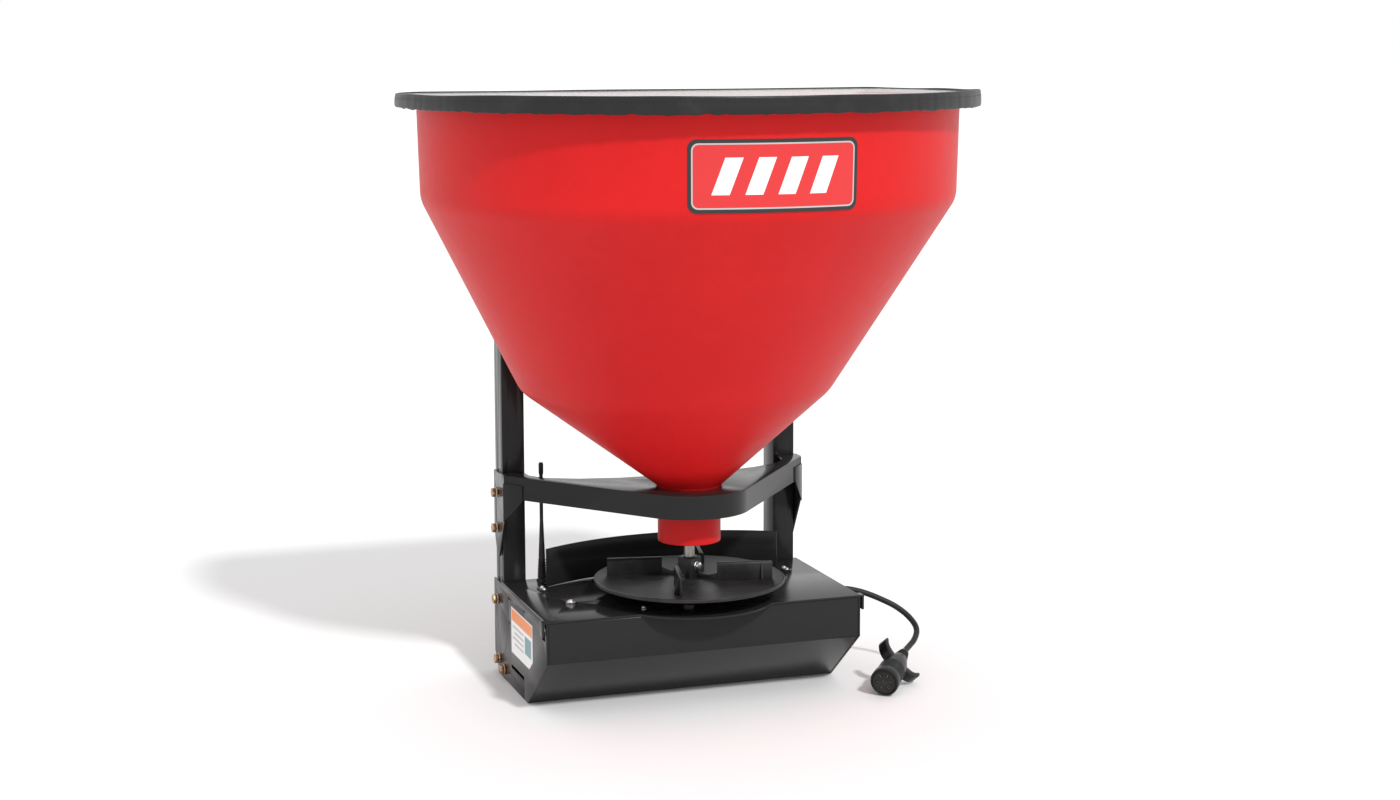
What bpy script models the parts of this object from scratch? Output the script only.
"""Tailgate salt spreader: a flat-backed poly hopper on a folded steel frame.

A motor in the base drives a vertical shaft through a 4 to 1 gearbox.  The shaft carries the
spinner disc above the deck, and an auger and an agitator inside the hopper.  Metres, +Z up, the
truck is on +Y and salt is thrown towards -Y.  Every piece hangs under one empty that stands on
the floor under the spinner shaft, so here X = Y = 0 is the shaft's own axis.
"""
import math

import bmesh
import bpy
from mathutils import Matrix, Vector

# ---------------------------------------------------------------- driving dimensions, metres
SHAFT_Y = -0.110            # the spinner shaft stands this far in front of the base's middle
GAP = 0.0003                # clearance between pieces that rest on each other
SHEET = 0.003               # structural steel sheet
PANEL = 0.0025              # enclosure sheet

BASE_HALF = 0.2408          # half width of the base, over its side plates
DECK_Z = 0.1482             # top of the deck
FRONT_Y = -0.0794           # upright front of the base
FOLD_Z = 0.0861             # where the front folds back towards the floor
FLOOR_Y = 0.0302            # where the folded front meets the floor
PAN_BACK_Y = 0.1780         # back edge of the floor sheet
BACK_Y = 0.2255             # back of the uprights and side plates

WEB_Y = 0.1820              # front of the uprights' webs
UPRIGHT_OUT = 0.2364        # outer and inner sides of the uprights
UPRIGHT_IN = 0.2022
UPRIGHT_TOP = 0.800
SIDE_HOLES = ((0.1374, 0.1325, 0.0025), (0.0447, 0.1340, 0.0022), (0.1329, 0.0956, 0.0022))
SIDE_SLOTS = (((0.0490, 0.0290), (0.1240, 0.0345)), ((0.0490, -0.0010), (0.0506, 0.0300)),
              ((-0.0720, 0.1180), (-0.0560, 0.1330)))    # low and high corners, Y and Z
CROSSBAR_Z = (0.700, 0.745)

SUPPORT_Z = 0.3160          # top of the hopper support
SUPPORT_NOSE = 0.090        # radius of its rounded nose
SUPPORT_HALF = 0.2404
SUPPORT_END_Y = 0.1600      # where its arms turn back along the uprights
SUPPORT_FLANGE = 0.0345     # depth of its turned-down front edge
EAR_LOW_Z = 0.185
GUSSET = (0.036, 0.245)     # length along the arm, lowest height

WALL = 0.0045               # hopper wall
HOPPER_BACK_Y = 0.1780      # the hopper's flat back
NECK_R = 0.0464
NECK_Z = (0.2339, 0.3165)
KNUCKLE_LOW = (0.4529, 0.2309, 0.0628)    # height, radius, centre Y of the lower knuckle
KNUCKLE_HIGH = (0.7410, 0.3857, 0.0)
BRIM = (0.8620, 0.3892)                   # height and radius just under the rim
RIM_R = 0.4150
RIM_Z = (0.8680, 0.8845)
RIM_BACK_Y = 0.1920

COVER_R = 0.4200            # outside of the cover's hem
COVER_Z = (0.8690, 0.8915)
COVER_BACK_Y = 0.1972
COVER_SKIN = 0.0032

DISC_R = 0.1414
DISC_Z = 0.1780             # top of the spinner disc
DISC_TURN = -12.0           # degrees from +X to the first fin
FIN = (0.038, 0.120, 0.204) # near end, far end, top height
FIN_ASIDE = 0.026           # each fin runs beside the disc's radius by this much
HUB_R = 0.0130
HUB_TOP = 0.2090
SHAFT_R = 0.0080
SHAFT_Z = (0.0985, 0.4450)
RUN = 0.0083                # bore radius of everything on the shaft
HUB_BOLT_Z = 0.1965
HUB_BOLT_TURN = -57.0
AUGER_Z = (0.3300, 0.4150)
AGITATOR_Z = 0.4320

MODULE = 0.0018             # gears
PRESSURE = math.radians(25)
BACKLASH = 0.00025
GEAR_TEETH = 48
PINION_TEETH = 12
CENTRES = MODULE * (GEAR_TEETH + PINION_TEETH) / 2
GEAR_Z = (0.1085, 0.1205)
CASE_Z = (0.0950, 0.1327)
LID_Z = (0.1330, 0.1449)

MOTOR_R = 0.0360
MOTOR_Z = (0.0180, 0.0947)
ARMATURE_R = 0.0235
ROTOR_R = 0.0040

DEFLECTOR_R = 0.3494
DEFLECTOR_HALF = 0.1850
DEFLECTOR_BACK_Y = 0.1750
DEFLECTOR_TOP = 0.2070

STEM_AT = (-0.1830, 0.1570)
CORD_R = 0.0045
GLAND_AT = (BASE_HALF, 0.0850, 0.1170)
GLAND_END_X = 0.2620
PLUG_FACE = Vector((0.2650, -0.1130, 0.0215))
PLUG_TAIL = Vector((0.3340, -0.0320, 0.0400))
WING_UP = Vector((-0.588, 0.332, 0.737))            # the upper finger wing points this way
CORD_ROUTE = (
    (0.2626, 0.0850, 0.1170), (0.2740, 0.0850, 0.1170), (0.2890, 0.0828, 0.1158),
    (0.3060, 0.0768, 0.1123), (0.3220, 0.0695, 0.1068), (0.3380, 0.0605, 0.0998),
    (0.3530, 0.0515, 0.0920), (0.3650, 0.0420, 0.0830), (0.3725, 0.0325, 0.0745),
    (0.3760, 0.0220, 0.0665), (0.3745, 0.0120, 0.0600), (0.3690, 0.0030, 0.0540),
    (0.3610, -0.0060, 0.0490), (0.3515, -0.0140, 0.0452), (0.3420, -0.0226, 0.0422),
    (0.3344, -0.0315, 0.0401),
)
LEAD_ROUTE = (
    (0.2250, 0.0850, 0.1170), (0.2050, 0.0850, 0.1165), (0.1700, 0.0830, 0.1090),
    (0.1300, 0.0760, 0.0930), (0.0900, 0.0640, 0.0740), (0.0600, 0.0560, 0.0660),
    (0.0366, 0.0540, 0.0650),
)

ARC_STEPS, CORNER_STEPS, BACK_STEPS = 34, 4, 6      # points round a flat-backed ring
CORNER_R = 0.034


# ---------------------------------------------------------------- scene, materials, helpers
for old in list(bpy.data.objects):
    bpy.data.objects.remove(old, do_unlink=True)

shaft_axis = bpy.data.objects.new("shaft_axis", None)
shaft_axis.location = (0, SHAFT_Y, 0)
bpy.context.scene.collection.objects.link(shaft_axis)

motor_axis = bpy.data.objects.new("motor_axis", None)
motor_axis.location = (0, CENTRES, 0)
motor_axis.parent = shaft_axis
bpy.context.scene.collection.objects.link(motor_axis)


def make_material(name, colour, roughness, metallic=0.0):
    material = bpy.data.materials.new(name)
    material.use_nodes = True
    shader = material.node_tree.nodes["Principled BSDF"]
    shader.inputs["Base Color"].default_value = (*colour, 1)
    shader.inputs["Roughness"].default_value = roughness
    shader.inputs["Metallic"].default_value = metallic
    return material


RED_POLY = make_material("red_poly", (0.62, 0.02, 0.02), 0.45)
BLACK_PAINT = make_material("black_paint", (0.012, 0.012, 0.013), 0.25)
BLACK_PLASTIC = make_material("black_plastic", (0.03, 0.03, 0.032), 0.5)
VINYL = make_material("cover_vinyl", (0.025, 0.025, 0.027), 0.5)
RUBBER = make_material("rubber", (0.015, 0.015, 0.015), 0.65)
SHAFT_STEEL = make_material("shaft_steel", (0.35, 0.33, 0.31), 0.35, 1.0)
GEAR_STEEL = make_material("gear_steel", (0.40, 0.40, 0.42), 0.35, 1.0)
ZINC = make_material("yellow_zinc", (0.55, 0.42, 0.20), 0.35, 1.0)
BRIGHT_ZINC = make_material("bright_zinc", (0.62, 0.62, 0.64), 0.3, 1.0)
CASTING = make_material("casting", (0.45, 0.45, 0.46), 0.5, 1.0)
MAGNET = make_material("ferrite", (0.06, 0.06, 0.065), 0.6)
COPPER = make_material("copper_winding", (0.60, 0.28, 0.12), 0.4, 1.0)


def add_object(name, bm, material, parent=shaft_axis):
    """Turn a bmesh into a named object with its faces pointing out."""
    bmesh.ops.remove_doubles(bm, verts=bm.verts, dist=1e-6)
    bmesh.ops.recalc_face_normals(bm, faces=bm.faces)
    mesh = bpy.data.meshes.new(name)
    bm.to_mesh(mesh)
    bm.free()
    if material:
        mesh.materials.append(material)
    mesh.shade_smooth()
    mesh.set_sharp_from_angle(angle=math.radians(35))
    obj = bpy.data.objects.new(name, mesh)
    obj.parent = parent
    bpy.context.scene.collection.objects.link(obj)
    return obj


def loft(name, rings, material, ends="caps", parent=shaft_axis):
    """Skin equal rings of points in order: ends are 'caps', or 'loop' to join last to first."""
    bm = bmesh.new()
    loops = [[bm.verts.new(point) for point in ring] for ring in rings]
    count = len(loops[0])
    pairs = list(zip(loops, loops[1:]))
    if ends == "loop":
        pairs.append((loops[-1], loops[0]))
    for low, high in pairs:
        for i in range(count):
            j = (i + 1) % count
            bm.faces.new((low[i], low[j], high[j], high[i]))
    if ends == "caps":
        bm.faces.new(loops[0])
        bm.faces.new(loops[-1])
    return add_object(name, bm, material, parent)


def slab(name, outline, low, high, material, axis="Z", parent=shaft_axis):
    """Extrude a closed outline: (x, y) points along Z, or (y, z) points along X."""
    place = {"Z": lambda a, b, h: (a, b, h), "X": lambda a, b, h: (h, a, b)}[axis]
    bm = bmesh.new()
    base = bm.faces.new([bm.verts.new(place(a, b, low)) for a, b in outline])
    grown = bmesh.ops.extrude_face_region(bm, geom=[base])["geom"]
    top = [v for v in grown if isinstance(v, bmesh.types.BMVert)]
    bmesh.ops.translate(bm, verts=top, vec=Vector(place(0, 0, high)) - Vector(place(0, 0, low)))
    return add_object(name, bm, material, parent)


def block(name, low, high, material, parent=shaft_axis):
    """A box between two corners."""
    bm = bmesh.new()
    bmesh.ops.create_cube(bm, size=1)
    size = Vector(high) - Vector(low)
    middle = (Vector(high) + Vector(low)) / 2
    bmesh.ops.transform(bm, matrix=Matrix.Translation(middle) @ Matrix.Diagonal((*size, 1)),
                        verts=bm.verts)
    return add_object(name, bm, material, parent)


def turned(name, profile, material, steps=32, place=None, parent=shaft_axis):
    """Spin a closed (radius, height) profile about Z, then put it where place says."""
    bm = bmesh.new()
    points = [bm.verts.new((r, 0, z)) for r, z in profile]
    edges = [bm.edges.new((a, b)) for a, b in zip(points, points[1:] + points[:1])
             if a.co.x > 0 or b.co.x > 0]
    bmesh.ops.spin(bm, geom=points + edges, axis=(0, 0, 1), cent=(0, 0, 0),
                   angle=math.tau, steps=steps, use_merge=True)
    if place:
        bmesh.ops.transform(bm, matrix=place, verts=bm.verts)
    return add_object(name, bm, material, parent)


def rod_profile(radius, low, high):
    return [(0, low), (radius, low), (radius, high), (0, high)]


def ring_profile(inner, outer, low, high):
    return [(inner, low), (outer, low), (outer, high), (inner, high)]


def along(start, direction):
    """Matrix that stands a turned shape at start, with its Z along direction."""
    turn = Vector(direction).to_track_quat("Z", "Y").to_matrix().to_4x4()
    return Matrix.Translation(Vector(start)) @ turn


def combine(target, tool, operation):
    """Boolean a helper shape into target, and leave the helper out of the build."""
    modifier = target.modifiers.new(operation.lower() + "_" + tool.name, "BOOLEAN")
    modifier.operation = operation
    modifier.object = tool
    modifier.solver = "EXACT"
    tool.hide_render = True
    tool.display_type = "WIRE"


def drill(targets, start, direction, radius, length, steps=16):
    """Cut one round hole through several pieces, from start along direction."""
    cutter = turned("drill", rod_profile(radius, 0, length), None, steps, along(start, direction))
    for target in targets:
        combine(target, cutter, "DIFFERENCE")


def arc(centre, radius, start, end, steps):
    """Points on a circle from start to end, in degrees."""
    turns = [math.radians(start + (end - start) * i / steps) for i in range(steps + 1)]
    return [(centre[0] + radius * math.cos(t), centre[1] + radius * math.sin(t)) for t in turns]


def smooth_path(route, step):
    """Points read every step metres from a Catmull-Rom curve through the route's points."""
    knots = [Vector(p) for p in route]
    knots = [2 * knots[0] - knots[1]] + knots + [2 * knots[-1] - knots[-2]]
    fine = []
    for a, b, c, d in zip(knots, knots[1:], knots[2:], knots[3:]):
        for i in range(24):
            t = i / 24
            fine.append(0.5 * (2 * b + (c - a) * t + (2 * a - 5 * b + 4 * c - d) * t ** 2
                               + (3 * b - a - 3 * c + d) * t ** 3))
    fine.append(knots[-2])
    total = sum((q - p).length for p, q in zip(fine, fine[1:]))
    count = max(2, round(total / step))
    kept, run, due = [fine[0]], 0.0, total / count
    for p, q in zip(fine, fine[1:]):
        run += (q - p).length
        if run >= due and len(kept) < count:
            kept.append(q)
            due += total / count
    return kept + [fine[-1]]


def tube(name, points, radius, material, resolution=2, parent=shaft_axis):
    """A round bar or cord: a poly curve with a bevel and filled caps."""
    curve = bpy.data.curves.new(name, "CURVE")
    curve.dimensions = "3D"
    curve.bevel_depth = radius
    curve.bevel_resolution = resolution
    curve.use_fill_caps = True
    spline = curve.splines.new("POLY")
    spline.points.add(len(points) - 1)
    for knot, point in zip(spline.points, points):
        knot.co = (*point, 1)
    curve.materials.append(material)
    obj = bpy.data.objects.new(name, curve)
    obj.parent = parent
    bpy.context.scene.collection.objects.link(obj)
    return obj


def bolt(name, seat, direction, across=0.013, reach=0.010, shank=0.0038, material=ZINC):
    """A flanged hex bolt: seat is where its flange rests, direction points out of the head."""
    corner = across / math.sqrt(3)
    hexagon = [(corner if i % 2 == 0 else across / 2, math.tau * i / 12) for i in range(12)]
    flange = [(across * 0.62, math.tau * i / 12) for i in range(12)]
    stem = [(shank, math.tau * i / 12) for i in range(12)]
    levels = [(hexagon, across * 0.62), (hexagon, 0.0022), (flange, 0.0018), (flange, GAP),
              (stem, GAP), (stem, -reach)]
    place = along(seat, direction)
    rings = [[place @ Vector((r * math.cos(a), r * math.sin(a), z)) for r, a in ring]
             for ring, z in levels]
    return loft(name, rings, material)


# ---------------------------------------------------------------- hopper and cover
def flat_backed_ring(radius, centre_y, back_y, corner, height):
    """A circle whose back is cut flat at back_y, with rounded corners; None leaves it round."""
    if back_y is None:
        front = arc((0, centre_y), radius, 30, -210, ARC_STEPS)
        left = arc((0, centre_y), radius, 150, 130, CORNER_STEPS)[1:]
        back = arc((0, centre_y), radius, 130, 50, BACK_STEPS)[1:]
        right = arc((0, centre_y), radius, 50, 30, CORNER_STEPS)[1:-1]
    else:
        rise = back_y - corner - centre_y
        run = math.sqrt((radius - corner) ** 2 - rise ** 2)
        turn = math.degrees(math.atan2(rise, run))
        front = arc((0, centre_y), radius, turn, -180 - turn, ARC_STEPS)
        left = arc((-run, back_y - corner), corner, 180 - turn, 90, CORNER_STEPS)[1:]
        back = [(-run + 2 * run * i / BACK_STEPS, back_y) for i in range(1, BACK_STEPS + 1)]
        right = arc((run, back_y - corner), corner, 90, turn, CORNER_STEPS)[1:-1]
    return [Vector((x, y, height)) for x, y in front + left + back + right]


def build_hopper():
    low_z, low_r, low_y = KNUCKLE_LOW
    high_z, high_r, high_y = KNUCKLE_HIGH
    brim_z, brim_r = BRIM
    back, inner_back = HOPPER_BACK_Y, HOPPER_BACK_Y - WALL
    inner_corner = CORNER_R - WALL
    outside = [
        flat_backed_ring(NECK_R, 0, None, 0, NECK_Z[0]),
        flat_backed_ring(NECK_R, 0, None, 0, NECK_Z[1]),
        flat_backed_ring(low_r, low_y, back, CORNER_R, low_z),
        flat_backed_ring(high_r, high_y, back, CORNER_R, high_z),
        flat_backed_ring(brim_r, 0, back, CORNER_R, brim_z),
        flat_backed_ring(RIM_R, 0, RIM_BACK_Y, CORNER_R + WALL, RIM_Z[0]),
        flat_backed_ring(RIM_R, 0, RIM_BACK_Y, CORNER_R + WALL, RIM_Z[1]),
    ]
    inside = [
        flat_backed_ring(brim_r - WALL, 0, inner_back, inner_corner, RIM_Z[1]),
        flat_backed_ring(high_r - WALL, high_y, inner_back, inner_corner, high_z),
        flat_backed_ring(low_r - WALL, low_y, inner_back, inner_corner, low_z + 0.002),
        flat_backed_ring(NECK_R - WALL, 0, None, 0, NECK_Z[1] + 0.002),
        flat_backed_ring(NECK_R - WALL, 0, None, 0, NECK_Z[0]),
    ]
    return loft("hopper", outside + inside, RED_POLY, ends="loop")


def build_cover():
    corner = CORNER_R + 0.009
    low, top = COVER_Z
    inner = COVER_R - COVER_SKIN
    inner_back = COVER_BACK_Y - COVER_SKIN
    shoulder = top - 0.003
    rings = [
        flat_backed_ring(inner * 0.40, 0, None, 0, top - COVER_SKIN - 0.001),
        flat_backed_ring(inner, 0, inner_back, corner - COVER_SKIN, shoulder - COVER_SKIN),
        flat_backed_ring(inner, 0, inner_back, corner - COVER_SKIN, low),
        flat_backed_ring(COVER_R, 0, COVER_BACK_Y, corner, low),
        flat_backed_ring(COVER_R, 0, COVER_BACK_Y, corner, shoulder - 0.003),
        flat_backed_ring(COVER_R - 0.003, 0, COVER_BACK_Y - 0.003, corner, shoulder),
        flat_backed_ring(inner * 0.40, 0, None, 0, top),
    ]
    return loft("hopper_cover", rings, VINYL)


# ---------------------------------------------------------------- frame and base
def build_upright(side, name):
    out, inn = UPRIGHT_OUT, UPRIGHT_IN
    outline = [(inn, WEB_Y), (out, WEB_Y), (out, BACK_Y), (out - SHEET, BACK_Y),
               (out - SHEET, WEB_Y + SHEET), (inn + SHEET, WEB_Y + SHEET),
               (inn + SHEET, BACK_Y), (inn, BACK_Y)]
    return slab(name, [(side * x, y) for x, y in outline], 0, UPRIGHT_TOP, BLACK_PAINT)


def build_crossbar():
    half = UPRIGHT_IN - GAP
    front, back = WEB_Y + 0.005, BACK_Y - 0.010
    outline = [(-half, back), (-half, front), (half, front), (half, back), (half - SHEET, back),
               (half - SHEET, front + SHEET), (-half + SHEET, front + SHEET), (-half + SHEET, back)]
    return slab("rear_crossbar", outline, *CROSSBAR_Z, BLACK_PAINT)


def support_edge(inset):
    """The support's front edge, right to left: a straight arm, the round nose, the other arm."""
    reach, radius = SUPPORT_HALF - inset, SUPPORT_NOSE - inset
    distance = math.hypot(reach, SUPPORT_END_Y)
    tangent = math.degrees(math.atan2(SUPPORT_END_Y, reach) - math.acos(radius / distance))
    nose = arc((0, 0), radius, tangent, -180 - tangent, 14)
    return [(reach, SUPPORT_END_Y)] + nose + [(-reach, SUPPORT_END_Y)]


def build_gusset(side):
    """Where an arm meets its ear, the flange deepens in a triangle."""
    length, low = GUSSET
    (end_x, end_y), (near_x, near_y) = support_edge(0.0004)[:2]
    end = Vector((side * end_x, end_y, 0))
    arm = (Vector((side * near_x, near_y, 0)) - end).normalized()
    inward = Vector((-arm.y, arm.x, 0)) * (1 if side > 0 else -1)
    top = SUPPORT_Z - 0.012
    corners = [end + Vector((0, 0, top)), end + Vector((0, 0, low)),
               end + arm * length + Vector((0, 0, SUPPORT_Z - SUPPORT_FLANGE + 0.0008)),
               end + arm * length + Vector((0, 0, top))]
    bm = bmesh.new()
    face = bm.faces.new([bm.verts.new(corner) for corner in corners])
    grown = bmesh.ops.extrude_face_region(bm, geom=[face])["geom"]
    far = [v for v in grown if isinstance(v, bmesh.types.BMVert)]
    bmesh.ops.translate(bm, verts=far, vec=inward * (SHEET - 0.0006))
    return add_object("support_gusset", bm, None)


def build_support():
    meet_y = WEB_Y - GAP
    half_back = [(0.0800, 0.0855), (0.1400, 0.0990), (0.1860, 0.1210), (0.2040, 0.1480),
                 (0.2060, meet_y)]
    back = [(-x, y) for x, y in half_back[::-1]] + [(0, 0.0830)] + half_back
    outline = [(SUPPORT_HALF, meet_y)] + support_edge(0) + [(-SUPPORT_HALF, meet_y)] + back
    plate = slab("hopper_support", outline, SUPPORT_Z - SHEET, SUPPORT_Z, BLACK_PAINT)
    band = support_edge(0.0002) + support_edge(SHEET)[::-1]
    flange = slab("support_flange", band, SUPPORT_Z - SUPPORT_FLANGE, SUPPORT_Z - 0.001, None)
    combine(plate, flange, "UNION")
    ear_back, ear_top = BACK_Y - 0.004, SUPPORT_Z - 0.0015
    front = SUPPORT_END_Y - 0.0012
    for side in (1, -1):
        outline = [(front, ear_top), (front, GUSSET[1] + 0.001), (0.193, EAR_LOW_Z),
                   (0.2050, EAR_LOW_Z), (ear_back, 0.222), (ear_back, ear_top)]
        inner, outer = side * (SUPPORT_HALF - SHEET), side * (SUPPORT_HALF - 0.0001)
        ear = slab("support_ear", outline, min(inner, outer), max(inner, outer), None, "X")
        combine(plate, ear, "UNION")
        combine(plate, build_gusset(side), "UNION")
    drill([plate], (0, 0, SUPPORT_Z - 0.01), (0, 0, 1), NECK_R + 0.0008, 0.02, 40)
    return plate


def build_deck():
    thick = DECK_Z - SHEET
    tongue_r = 0.128
    half_chord = math.degrees(math.acos(-FRONT_Y / tongue_r))
    front = arc((0, 0), tongue_r, -90 - half_chord, -90 + half_chord, 20)
    outline = [(BASE_HALF, WEB_Y - 0.001), (-BASE_HALF, WEB_Y - 0.001), (-BASE_HALF, FRONT_Y),
               *front, (BASE_HALF, FRONT_Y)]
    deck = slab("deck", outline, thick, DECK_Z, BLACK_PAINT)
    for side in (1, -1):
        outline = [(BASE_HALF - 0.004, thick + 0.0002), (BASE_HALF + 0.003, thick + 0.0002),
                   (BASE_HALF + 0.003, thick - 0.019), (BASE_HALF + 0.006, thick - 0.019),
                   (BASE_HALF + 0.006, DECK_Z - 0.0002), (BASE_HALF - 0.004, DECK_Z - 0.0002)]
        bm = bmesh.new()
        face = bm.faces.new([bm.verts.new((side * x, FRONT_Y + 0.0002, z)) for x, z in outline])
        grown = bmesh.ops.extrude_face_region(bm, geom=[face])["geom"]
        far = [v for v in grown if isinstance(v, bmesh.types.BMVert)]
        bmesh.ops.translate(bm, verts=far, vec=(0, 0.015, 0))
        combine(deck, add_object("deck_tab", bm, None), "UNION")
    drill([deck], (0, 0, DECK_Z - 0.01), (0, 0, 1), 0.0168, 0.02, 24)
    return deck


def build_base_wrap():
    """Front, sloping underside and floor, folded from one sheet."""
    top, t = DECK_Z - SHEET - GAP, PANEL
    outline = [(FRONT_Y, top), (FRONT_Y, FOLD_Z), (FLOOR_Y, 0), (PAN_BACK_Y, 0), (PAN_BACK_Y, t),
               (FLOOR_Y + 0.0009, t), (FRONT_Y + t, FOLD_Z + 0.0011), (FRONT_Y + t, top)]
    half = BASE_HALF - SHEET - GAP
    return slab("base_wrap", outline, -half, half, BLACK_PAINT, "X")


def build_side_plate(side, name):
    top = DECK_Z - SHEET - GAP
    outline = [(FRONT_Y, top), (FRONT_Y, FOLD_Z), (FLOOR_Y, 0), (0.1870, 0), (BACK_Y, 0.0300),
               (BACK_Y, top)]
    inner, outer = side * (BASE_HALF - SHEET), side * BASE_HALF
    plate = slab(name, outline, min(inner, outer), max(inner, outer), BLACK_PAINT, "X")
    for y, z, radius in SIDE_HOLES:
        drill([plate], (side * (BASE_HALF - 0.01), y, z), (side, 0, 0), radius, 0.02, 12)
    reach = sorted((side * (BASE_HALF - 0.01), side * (BASE_HALF + 0.01)))
    for low, high in SIDE_SLOTS:
        slot = block("slot", (reach[0], *low), (reach[1], *high), None)
        combine(plate, slot, "DIFFERENCE")
    return plate


def build_back_cover():
    half = BASE_HALF - SHEET - GAP
    top = DECK_Z - SHEET - GAP
    return block("back_cover", (-half, PAN_BACK_Y + GAP, 0.0030), (half, WEB_Y - 0.001, top),
                 BLACK_PAINT)


def build_deflector():
    thick = 0.0020
    centre = (0, DEFLECTOR_BACK_Y - DEFLECTOR_R)
    turn = math.degrees(math.asin(DEFLECTOR_HALF / DEFLECTOR_R))
    outer = arc(centre, DEFLECTOR_R + thick, 90 - turn, 90 + turn, 20)
    inner = arc(centre, DEFLECTOR_R, 90 - turn, 90 + turn, 20)
    return slab("deflector", outer + inner[::-1], DECK_Z + GAP, DEFLECTOR_TOP, BLACK_PAINT)


# ---------------------------------------------------------------- drive
def gear_outline(teeth, centre, first_tooth):
    """Involute spur gear outline; first_tooth is the angle of a tooth's middle, in degrees."""
    pitch_r = MODULE * teeth / 2
    base_r = pitch_r * math.cos(PRESSURE)
    tip_r, root_r = pitch_r + MODULE, pitch_r - 1.25 * MODULE
    half_pitch = math.pi / (2 * teeth) - BACKLASH / (2 * pitch_r)

    def half_width(radius):
        lean = math.acos(min(1.0, base_r / radius))
        start = math.tan(PRESSURE) - PRESSURE
        return half_pitch + start - (math.tan(lean) - lean)

    start_r = max(base_r, root_r + 0.0002)
    radii = [start_r + (tip_r - start_r) * i / 3 for i in range(4)]
    points = []
    for tooth in range(teeth):
        middle = math.radians(first_tooth) + math.tau * tooth / teeth
        rising = [(root_r, -half_width(start_r))] + [(r, -half_width(r)) for r in radii]
        falling = [(r, -turn) for r, turn in rising[::-1]]
        for radius, turn in rising + falling:
            angle = middle + turn
            points.append((centre[0] + radius * math.cos(angle),
                           centre[1] + radius * math.sin(angle)))
    return points


def two_circles(big, small):
    """Outline round two circles on the Y axis and their shared tangents: each (radius, y)."""
    lean = math.degrees(math.asin((big[0] - small[0]) / (small[1] - big[1])))
    upper = arc((0, small[1]), small[0], lean, 180 - lean, 12)
    lower = arc((0, big[1]), big[0], 180 - lean, 360 + lean, 28)
    return upper + lower


def build_gearbox():
    outer = two_circles((0.0508, 0), (0.0190, CENTRES))
    inner = two_circles((0.0464, 0), (0.0146, CENTRES))
    case = slab("gearbox_case", outer, *CASE_Z, CASTING)
    combine(case, slab("case_hollow", inner, CASE_Z[0] + 0.011, CASE_Z[1] + 0.01, None),
            "DIFFERENCE")
    drill([case], (0, 0, CASE_Z[0] + 0.0030), (0, 0, 1), 0.0113, 0.02, 24)
    drill([case], (0, CENTRES, CASE_Z[0] - 0.01), (0, 0, 1), 0.0065, 0.03, 20)
    lid = slab("gearbox_lid", outer, *LID_Z, CASTING)
    drill([lid], (0, 0, LID_Z[0] - 0.01), (0, 0, 1), 0.0128, 0.03, 24)
    turned("lower_bearing", ring_profile(RUN, 0.0110, CASE_Z[0] + 0.0034, CASE_Z[0] + 0.0104),
           GEAR_STEEL, 24)
    turned("upper_bearing", ring_profile(RUN, 0.0125, LID_Z[0] + 0.001, LID_Z[1] - 0.001),
           GEAR_STEEL, 24)
    turned("shaft_seal", [(0.0086, DECK_Z - SHEET), (0.0164, DECK_Z - SHEET),
                          (0.0164, DECK_Z + GAP), (0.0215, DECK_Z + GAP),
                          (0.0200, DECK_Z + 0.0040), (0.0110, DECK_Z + 0.0085),
                          (0.0086, DECK_Z + 0.0085)], RUBBER, 28)


def build_gears():
    gear = slab("output_gear", gear_outline(GEAR_TEETH, (0, 0), 180 / GEAR_TEETH), *GEAR_Z,
                GEAR_STEEL)
    drill([gear], (0, 0, GEAR_Z[0] - 0.01), (0, 0, 1), RUN, 0.03, 24)
    pinion = slab("motor_pinion", gear_outline(PINION_TEETH, (0, 0), -90), GEAR_Z[0],
                  GEAR_Z[1] + 0.001, GEAR_STEEL, parent=motor_axis)
    bore = turned("pinion_bore", rod_profile(ROTOR_R + GAP, 0, 0.03), None, 16,
                  along((0, 0, GEAR_Z[0] - 0.01), (0, 0, 1)), motor_axis)
    combine(pinion, bore, "DIFFERENCE")


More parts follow.
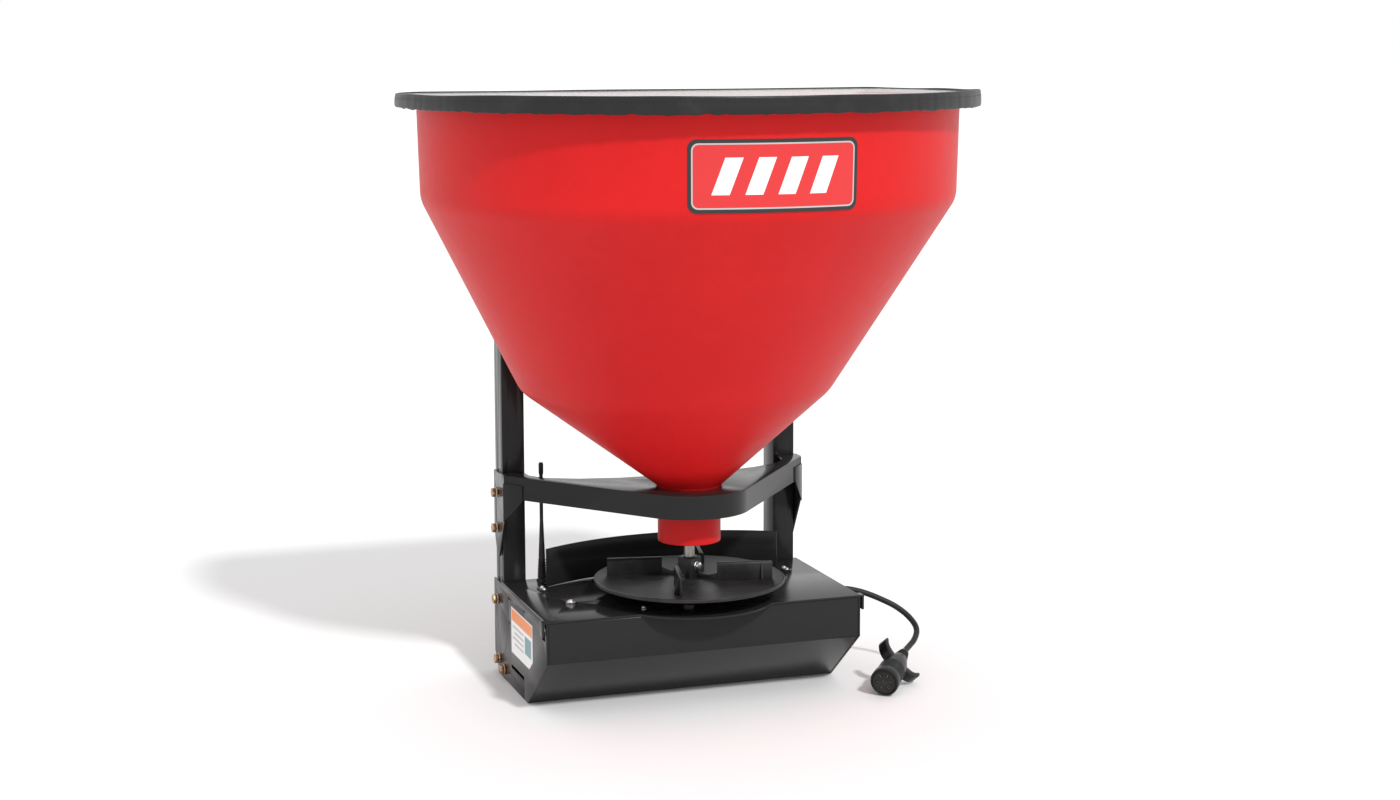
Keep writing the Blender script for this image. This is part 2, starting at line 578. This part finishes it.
def build_motor():
    low, high = MOTOR_Z
    wall = 0.0030
    inside = MOTOR_R - wall
    turned("motor_can", [(0, low), (MOTOR_R - 0.002, low), (MOTOR_R, low + 0.002), (MOTOR_R, high),
                         (inside, high), (inside, low + wall), (0, low + wall)],
           BLACK_PAINT, 36, parent=motor_axis)
    turned("motor_end_cap", ring_profile(ROTOR_R + 0.0006, inside - GAP, high - 0.0060,
                                         high - 0.0005), CASTING, 36, parent=motor_axis)
    turned("motor_bearing", ring_profile(ROTOR_R + GAP, 0.0100, low + wall + GAP,
                                         low + wall + 0.0060), GEAR_STEEL, 20, parent=motor_axis)
    core_low, core_high = low + 0.016, low + 0.056
    turned("armature", [(0, low + wall + 0.001), (ROTOR_R, low + wall + 0.001),
                        (ROTOR_R, core_low), (ARMATURE_R, core_low), (ARMATURE_R, core_high),
                        (0.0110, core_high + 0.002), (0.0110, core_high + 0.010),
                        (ROTOR_R, core_high + 0.010), (ROTOR_R, GEAR_Z[1] + 0.0005),
                        (0, GEAR_Z[1] + 0.0005)], COPPER, 28, parent=motor_axis)
    for name, middle in (("magnet_left", 180), ("magnet_right", 0)):
        outline = (arc((0, 0), inside - GAP, middle - 62, middle + 62, 14)
                   + arc((0, 0), ARMATURE_R + 0.0015, middle + 62, middle - 62, 14))
        slab(name, outline, core_low - 0.004, core_high + 0.004, MAGNET, parent=motor_axis)
    for name, side in (("brush_front", -1), ("brush_back", 1)):
        near, far = side * 0.0114, side * 0.0240
        block(name, (-0.0035, min(near, far), core_high + 0.0035),
              (0.0035, max(near, far), core_high + 0.0090), MAGNET, parent=motor_axis)


def build_shaft():
    shaft = turned("drive_shaft", rod_profile(SHAFT_R, *SHAFT_Z), SHAFT_STEEL, 24)
    drill([shaft], (-0.02, 0, AGITATOR_Z), (1, 0, 0), 0.0047, 0.04, 12)
    path = [(-0.094, 0, 0.494), (-0.091, 0, 0.462), (-0.084, 0, 0.444), (-0.070, 0, 0.4345),
            (-0.050, 0, AGITATOR_Z), (0.050, 0, AGITATOR_Z), (0.070, 0, 0.4295),
            (0.086, 0, 0.4275), (0.098, 0, 0.4320), (0.104, 0, 0.4460), (0.106, 0, 0.4740)]
    tube("agitator", path, 0.0040, SHAFT_STEEL)
    return shaft


def build_spinner(shaft):
    disc = turned("spinner_disc", [(RUN, DISC_Z - 0.0035), (0.1340, DISC_Z - 0.0035),
                                   (0.1350, DISC_Z - 0.0055), (DISC_R - 0.0008, DISC_Z - 0.0055),
                                   (DISC_R, DISC_Z - 0.0045), (DISC_R, DISC_Z - 0.0008),
                                   (DISC_R - 0.0010, DISC_Z), (RUN, DISC_Z)], BLACK_PLASTIC, 56)
    hub = turned("hub_boss", ring_profile(RUN, HUB_R, DISC_Z - 0.0080, HUB_TOP), None, 24)
    combine(disc, hub, "UNION")
    inner, outer, top = FIN
    web_length = math.hypot(inner, FIN_ASIDE)
    web_turn = Matrix.Rotation(-math.atan2(FIN_ASIDE, inner), 4, "Z")
    for turn in range(4):
        spin = Matrix.Rotation(math.radians(DISC_TURN + 90 * turn), 4, "Z")
        outline = [(-0.0012, DISC_Z - 0.001), (0.0012, DISC_Z - 0.001), (0.0012, top - 0.0022),
                   (0.0058, top - 0.0022), (0.0058, top), (-0.0012, top)]
        bm = bmesh.new()
        face = bm.faces.new([bm.verts.new((inner, y - FIN_ASIDE, z)) for y, z in outline])
        grown = bmesh.ops.extrude_face_region(bm, geom=[face])["geom"]
        far = [v for v in grown if isinstance(v, bmesh.types.BMVert)]
        bmesh.ops.translate(bm, verts=far, vec=(outer - inner, 0, 0))
        bmesh.ops.transform(bm, matrix=spin, verts=bm.verts)
        combine(disc, add_object("fin", bm, None), "UNION")
        web = slab("fin_web", [(-0.0010, DISC_Z - 0.001), (0.0010, DISC_Z - 0.001),
                               (0.0010, DISC_Z + 0.008), (-0.0010, DISC_Z + 0.008)],
                   HUB_R - 0.003, web_length + 0.0004, None, "X")
        web.matrix_basis = spin @ web_turn
        combine(disc, web, "UNION")
    direction = Matrix.Rotation(math.radians(HUB_BOLT_TURN), 3, "Z") @ Vector((1, 0, 0))
    start = Vector((0, 0, HUB_BOLT_Z)) - direction * 0.03
    drill([disc, shaft], start, direction, 0.0036, 0.06, 12)
    seat = Vector((0, 0, HUB_BOLT_Z)) + direction * (HUB_R + 0.0002)
    bolt("hub_bolt", seat, direction, 0.0100, 0.0300, 0.0030, BRIGHT_ZINC)
    seat = Vector((0, 0, HUB_BOLT_Z)) - direction * (HUB_R + 0.0002 + GAP)
    turned("hub_nut", ring_profile(0.0038, 0.0060, 0, 0.0050), BRIGHT_ZINC, 6,
           along(seat, -direction))


def build_auger():
    """A sleeve on the shaft with one helical flight that widens towards the hopper."""
    low, high = AUGER_Z
    sleeve = turned("auger", ring_profile(RUN, 0.0125, low, high), SHAFT_STEEL, 24)
    turns, steps, thick = 1.25, 34, 0.0030
    rings = []
    for i in range(steps + 1):
        share = i / steps
        angle = math.tau * turns * share
        height = low + 0.004 + (high - low - 0.011) * share
        reach = 0.030 + 0.022 * share
        spoke = Vector((math.cos(angle), math.sin(angle), 0))
        rings.append([spoke * 0.0110 + Vector((0, 0, height)),
                      spoke * reach + Vector((0, 0, height)),
                      spoke * reach + Vector((0, 0, height + thick)),
                      spoke * 0.0110 + Vector((0, 0, height + thick))])
    combine(sleeve, loft("auger_flight", rings, None), "UNION")


# ---------------------------------------------------------------- cord, plug, small parts
def build_cord():
    x, y, z = GLAND_AT
    profile = [(0, -0.0155), (0.0120, -0.0155), (0.0120, -0.0035), (0.0078, -0.0035),
               (0.0078, GAP), (0.0125, GAP), (0.0125, 0.0070), (0.0100, 0.0082),
               (0.0090, 0.0140), (0.0066, GLAND_END_X - x), (0, GLAND_END_X - x)]
    turned("cord_gland", profile, BLACK_PLASTIC, 16, along((x, y, z), (1, 0, 0)))
    tube("power_cord", smooth_path(CORD_ROUTE, 2.2 * CORD_R * 2), CORD_R, RUBBER, 3)
    tube("motor_lead", smooth_path(LEAD_ROUTE, 0.012), 0.0030, RUBBER)


def build_plug():
    """Round trailer connector: sockets in its face, two finger wings near its tail."""
    axis = PLUG_TAIL - PLUG_FACE
    length = axis.length
    place = along(PLUG_FACE, axis)
    body = turned("plug_body", [(0.0178, 0.0040), (0.0178, 0), (0.0200, 0), (0.0214, 0.0015),
                                (0.0214, 0.0150), (0.0205, 0.0165), (0.0198, 0.0450),
                                (0.0175, 0.0620), (0.0120, 0.0820), (0.0095, 0.0960),
                                (0.0072, length), (0, length), (0, 0.0040)],
                  BLACK_PLASTIC, 32, place)
    forward = axis.normalized()
    wing_up = (WING_UP - forward * WING_UP.dot(forward)).normalized()
    turn = Matrix((wing_up, forward.cross(wing_up), forward)).transposed().to_4x4()
    wing_place = Matrix.Translation(PLUG_FACE) @ turn
    for side in (1, -1):
        outline = [(0.006, 0.056), (0.017, 0.058), (0.025, 0.061), (0.032, 0.067),
                   (0.0370, 0.076), (0.0375, 0.086), (0.0335, 0.0870), (0.0315, 0.080),
                   (0.0255, 0.074), (0.016, 0.071), (0.006, 0.070)]
        bm = bmesh.new()
        face = bm.faces.new([bm.verts.new((side * r, -0.008, h)) for r, h in outline])
        grown = bmesh.ops.extrude_face_region(bm, geom=[face])["geom"]
        far = [v for v in grown if isinstance(v, bmesh.types.BMVert)]
        bmesh.ops.translate(bm, verts=far, vec=(0, 0.016, 0))
        bmesh.ops.transform(bm, matrix=wing_place, verts=bm.verts)
        combine(body, add_object("plug_wing", bm, None), "UNION")
    insert = turned("plug_insert", rod_profile(0.0174, 0.0006, 0.0037), BLACK_PLASTIC, 28, place)
    centres = [(0, 0, 0.0030)] + [(0.0108 * math.cos(math.tau * i / 6),
                                   0.0108 * math.sin(math.tau * i / 6), 0.0028) for i in range(6)]
    for px, py, radius in centres:
        cutter = turned("socket", rod_profile(radius, -0.01, 0.0026), None, 10,
                        place @ Matrix.Translation((px, py, 0)))
        combine(insert, cutter, "DIFFERENCE")


def build_stem():
    x, y = STEM_AT
    base = DECK_Z + GAP
    profile = [(0, base), (0.0085, base), (0.0085, base + 0.004), (0.0062, base + 0.012),
               (0.0050, base + 0.030), (0.0026, base + 0.056), (0.0024, 0.3160),
               (0.0034, 0.3200), (0.0034, 0.3315), (0.0026, 0.3330), (0, 0.3330)]
    turned("whip_stem", profile, RUBBER, 14, Matrix.Translation((x, y, 0)))


def build_fasteners(plates, uprights, support, deck, hopper):
    """Each bolt's shank stands in its own drilled hole."""
    hole = 0.0042
    for side, tag in ((-1, "left"), (1, "right")):
        out = Vector((side, 0, 0))
        for level, z in (("upper", 0.2820), ("lower", 0.2270)):
            seat = Vector((side * SUPPORT_HALF, 0.2050, z))
            drill([support, uprights[side]], seat - out * 0.012, out, hole, 0.02, 12)
            bolt(f"support_bolt_{tag}_{level}", seat, out, reach=0.009)
        for level, y, z in (("upper", 0.2050, 0.1160), ("lower", 0.1985, 0.0238)):
            seat = Vector((side * BASE_HALF, y, z))
            drill([plates[side], uprights[side]], seat - out * 0.012, out, hole, 0.02, 12)
            bolt(f"side_bolt_{tag}_{level}", seat, out, reach=0.009)
        seat = Vector((side * BASE_HALF, 0.1680, 0.0145))
        drill([plates[side]], seat - out * 0.012, out, hole, 0.02, 12)
        bolt(f"side_bolt_{tag}_foot", seat, out, reach=0.009)
        for level, z in (("upper", 0.7650), ("lower", 0.6200)):
            seat = Vector((side * 0.2193, HOPPER_BACK_Y - WALL, z))
            drill([hopper, uprights[side]], seat - Vector((0, 0.004, 0)), (0, 1, 0), hole, 0.02, 12)
            bolt(f"hopper_bolt_{tag}_{level}", seat, (0, -1, 0), reach=0.014)
    for name, x, y, across in (("deck_bolt", -0.1764, 0.0221, 0.0090),
                               ("deck_screw", -0.0850, -0.0447, 0.0060)):
        drill([deck], (x, y, DECK_Z - 0.01), (0, 0, 1), across * 0.42, 0.02, 12)
        bolt(name, (x, y, DECK_Z), (0, 0, 1), across, 0.0070, across * 0.35, BRIGHT_ZINC)


# ---------------------------------------------------------------- the assembly
hopper = build_hopper()
build_cover()
uprights = {-1: build_upright(-1, "upright_left"), 1: build_upright(1, "upright_right")}
plates = {-1: build_side_plate(-1, "side_plate_left"), 1: build_side_plate(1, "side_plate_right")}
build_crossbar()
support = build_support()
deck = build_deck()
build_base_wrap()
build_back_cover()
build_deflector()
build_gearbox()
build_gears()
build_motor()
shaft = build_shaft()
build_spinner(shaft)
build_auger()
build_cord()
build_plug()
build_stem()
drill([plates[1]], (BASE_HALF - 0.01, GLAND_AT[1], GLAND_AT[2]), (1, 0, 0), 0.0082, 0.02, 16)
build_fasteners(plates, uprights, support, deck, hopper)
